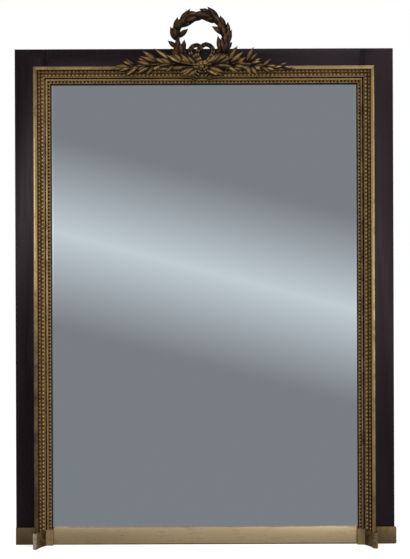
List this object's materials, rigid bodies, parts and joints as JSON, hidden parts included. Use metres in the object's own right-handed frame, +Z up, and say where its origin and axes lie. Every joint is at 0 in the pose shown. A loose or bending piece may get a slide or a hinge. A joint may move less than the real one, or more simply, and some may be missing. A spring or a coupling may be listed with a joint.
{
  "type": "overmantel mirror",
  "caption": "Tall overmantel mirror: ebonised board frame, gilt pearl moulding and plinth, carved laurel wreath, ribbon and spray crest, and swinging rings at the back to hang it by.",
  "frame": {"origin": "middle of the base on the wall plane", "axes": "+Z up, -Y out of the front, +X to the right as seen from the front"},
  "size_m": [1.2045, 0.1004, 1.6867],
  "materials": {
    "ebonised_wood": "ebonised, satin polish",
    "gilt_wood": "worn gilding over dark bole",
    "mirror_plate": "silvered glass",
    "pine": "aged bare pine",
    "black_iron": "blackened forged iron",
    "steel": "dull"
  },
  "bodies": {
    "frame": {"back_board_1": "pine", "back_board_2": "pine", "back_board_3": "pine", "back_board_4": "pine", "back_board_5": "pine", "back_board_6": "pine", "back_board_7": "pine", "back_board_8": "pine", "bottom_rail": "ebonised_wood", "crest_block": "gilt_wood", "crest_pegs": "pine", "glazing_blocks": "pine", "hanger_plate_left": "black_iron", "hanger_plate_right": "black_iron", "inner_strip_left": "gilt_wood", "inner_strip_right": "gilt_wood", "inner_strip_top": "gilt_wood", "laurel_spray_left": "gilt_wood", "laurel_spray_right": "gilt_wood", "mirror_glass": "mirror_plate", "moulding_left": "gilt_wood", "moulding_right": "gilt_wood", "moulding_top": "gilt_wood", "pearl_strip_left": "gilt_wood", "pearl_strip_right": "gilt_wood", "pearl_strip_top": "gilt_wood", "plinth_block_left": "gilt_wood", "plinth_block_right": "gilt_wood", "plinth_end_left": "gilt_wood", "plinth_end_right": "gilt_wood", "plinth_strip": "gilt_wood", "ribbon_bow": "gilt_wood", "ribbon_knot": "gilt_wood", "ribbon_tail_left": "gilt_wood", "ribbon_tail_right": "gilt_wood", "setting_blocks": "pine", "small_strip_left": "gilt_wood", "small_strip_right": "gilt_wood", "small_strip_top": "gilt_wood", "stile_left": "ebonised_wood", "stile_right": "ebonised_wood", "tenon_pegs": "pine", "top_rail": "ebonised_wood", "wreath_branch_left": "gilt_wood", "wreath_branch_right": "gilt_wood"},
    "hanging_ring_left": {"hanging_ring_left": "black_iron"},
    "hanging_ring_right": {"hanging_ring_right": "black_iron"}
  },
  "joints": [
    {"name": "ring_left_swing", "type": "hinge", "parent": "frame", "child": "hanging_ring_left", "pos_m": [-0.35, -0.0065, 1.5185], "axis": [1, 0, 0], "range_deg": [0, 180]},
    {"name": "ring_right_swing", "type": "hinge", "parent": "frame", "child": "hanging_ring_right", "pos_m": [0.35, -0.0065, 1.5185], "axis": [1, 0, 0], "range_deg": [0, 180]}
  ]
}
